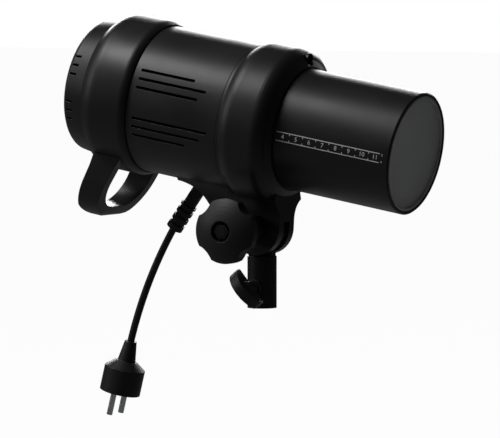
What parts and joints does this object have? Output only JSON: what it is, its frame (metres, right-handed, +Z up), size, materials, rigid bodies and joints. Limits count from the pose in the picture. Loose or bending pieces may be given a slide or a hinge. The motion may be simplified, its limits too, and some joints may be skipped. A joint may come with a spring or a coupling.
{
  "type": "monolight strobe",
  "caption": "Round-bodied studio flash head with a front accessory tube, rear control panel and carry handle, tilting on a clamp-on stand adapter, with its power cord.",
  "frame": {"origin": "centre of the mouth of the stand socket", "axes": "+Z up the stand axis, +X the way the light points, the tilt knob on the -Y side"},
  "size_m": [0.3156, 0.1372, 0.3334],
  "materials": {
    "adapter_black": "satin black powder coat",
    "friction_fibre": "pressed friction lining",
    "brass": "turned",
    "bare_steel": "zinc plated",
    "black_steel": "black oxide",
    "shell_black": "fine moulded grain, satin",
    "shell_grey": "fine moulded grain, satin",
    "knob_black": "moulded, lightly worn",
    "button_grey": "soft touch",
    "board_green": "solder mask",
    "display_glass": "polished dark window",
    "display_panel": "moulded frame",
    "eye_red": "clear red moulding",
    "clear_glass": "clear",
    "copper": "enamelled copper wire",
    "capacitor_blue": "printed sleeve, no lettering",
    "lamp_ceramic": "unglazed",
    "polished_reflector": "polished",
    "frosted_glass": "frosted",
    "cable_rubber": "smooth"
  },
  "bodies": {
    "stand": {"stand_adapter": "adapter_black", "friction_washers": "friction_fibre"},
    "clamp_pad": {"clamp_pad": "brass"},
    "clamp_wing": {"clamp_screw": "black_steel", "clamp_wing": "knob_black"},
    "head": {"rear_bezel": "shell_black", "bezel_screws": "bare_steel", "control_panel": "shell_grey", "display_window": "display_glass", "display_module": "display_panel", "control_board": "board_green", "button_switches": "bare_steel", "encoder_body": "bare_steel", "slave_eye": "eye_red", "sync_jack": "bare_steel", "usb_port": "bare_steel", "fuse_holder": "knob_black", "fuse": "clear_glass", "switch_frame": "knob_black", "rear_ring": "shell_black", "handle": "shell_black", "handle_screws": "bare_steel", "mid_housing": "shell_grey", "main_board": "board_green", "choke_coil": "copper", "capacitors": "capacitor_blue", "rear_bulkhead": "bare_steel", "front_bulkhead": "bare_steel", "chassis_rods": "bare_steel", "fan_frame": "knob_black", "front_casing": "shell_black", "umbrella_tube": "black_steel", "front_tube": "shell_black", "lamp_carrier": "lamp_ceramic", "modelling_lamp": "clear_glass", "flash_tube": "clear_glass", "reflector": "polished_reflector", "glass_cover": "frosted_glass", "glass_retainer": "bare_steel", "pivot_nut": "bare_steel", "mains_inlet": "knob_black", "cord_connector": "knob_black"},
    "lock_washer": {"lock_washer": "black_steel"},
    "tilt_knob": {"tilt_knob": "knob_black", "tilt_stud": "black_steel", "knob_nut": "black_steel"},
    "dial": {"power_dial": "knob_black", "encoder_shaft": "bare_steel"},
    "model_button": {"button_model": "button_grey"},
    "sync_button": {"button_sync": "button_grey"},
    "ready_button": {"button_ready": "button_grey"},
    "test_button": {"button_test": "button_grey"},
    "rocker": {"power_rocker": "knob_black"},
    "fuse_cap": {"fuse_cap": "knob_black"},
    "fan": {"fan_rotor": "knob_black"},
    "cord": {"power_cable": "cable_rubber", "mains_plug": "knob_black", "plug_pins": "bare_steel"}
  },
  "joints": [
    {"name": "head_tilt", "type": "hinge", "parent": "stand", "child": "head", "pos_m": [0, 0, 0.066], "axis": [0, 1, 0], "range_deg": [-50, 70]},
    {"name": "lock_feed", "type": "slide", "parent": "head", "child": "lock_washer", "axis": [0, -1, 0], "range_m": [0, 0.00113]},
    {"name": "knob_turn", "type": "hinge", "parent": "lock_washer", "child": "tilt_knob", "pos_m": [0, 0, 0.066], "axis": [0, -1, 0], "range_deg": [0, 270]},
    {"name": "clamp_feed", "type": "slide", "parent": "stand", "child": "clamp_pad", "axis": [0, -1, 0], "range_m": [0, 0.0019]},
    {"name": "clamp_turn", "type": "hinge", "parent": "clamp_pad", "child": "clamp_wing", "pos_m": [0, 0, 0.017], "axis": [0, -1, 0], "range_deg": [0, 540]},
    {"name": "dial_turn", "type": "hinge", "parent": "head", "child": "dial", "pos_m": [-0.15909, 0, 0.17732], "axis": [-0.9848, 0, 0.1736], "continuous": true},
    {"name": "model_press", "type": "slide", "parent": "head", "child": "model_button", "axis": [0.9848, 0, -0.1736], "range_m": [0, 0.001], "stiffness_N_per_m": 100},
    {"name": "sync_press", "type": "slide", "parent": "head", "child": "sync_button", "axis": [0.9848, 0, -0.1736], "range_m": [0, 0.001], "stiffness_N_per_m": 100},
    {"name": "ready_press", "type": "slide", "parent": "head", "child": "ready_button", "axis": [0.9848, 0, -0.1736], "range_m": [0, 0.001], "stiffness_N_per_m": 100},
    {"name": "test_press", "type": "slide", "parent": "head", "child": "test_button", "axis": [0.9848, 0, -0.1736], "range_m": [0, 0.001], "stiffness_N_per_m": 100},
    {"name": "power_rock", "type": "hinge", "parent": "head", "child": "rocker", "pos_m": [-0.15636, 0.022, 0.15246], "axis": [0, -1, 0], "range_deg": [0, 16]},
    {"name": "fuse_cap_turn", "type": "hinge", "parent": "head", "child": "fuse_cap", "pos_m": [-0.15949, 0.003, 0.152], "axis": [-0.9848, 0, 0.1736], "range_deg": [0, 60]},
    {"name": "fan_spin", "type": "hinge", "parent": "head", "child": "fan", "pos_m": [0.00607, 0, 0.15226], "axis": [0.9848, 0, -0.1736], "continuous": true},
    {"name": "cord_swing", "type": "hinge", "parent": "head", "child": "cord", "pos_m": [-0.08416, 0, 0.06014], "axis": [0, 1, 0], "range_deg": [-70, 50]}
  ],
  "couplings": [
    {"joint": "lock_feed", "follows": "knob_turn", "m_per_rad": 0.00023873},
    {"joint": "clamp_feed", "follows": "clamp_turn", "m_per_rad": 0.00019894},
    {"joint": "cord_swing", "follows": "head_tilt", "ratio": -1}
  ]
}
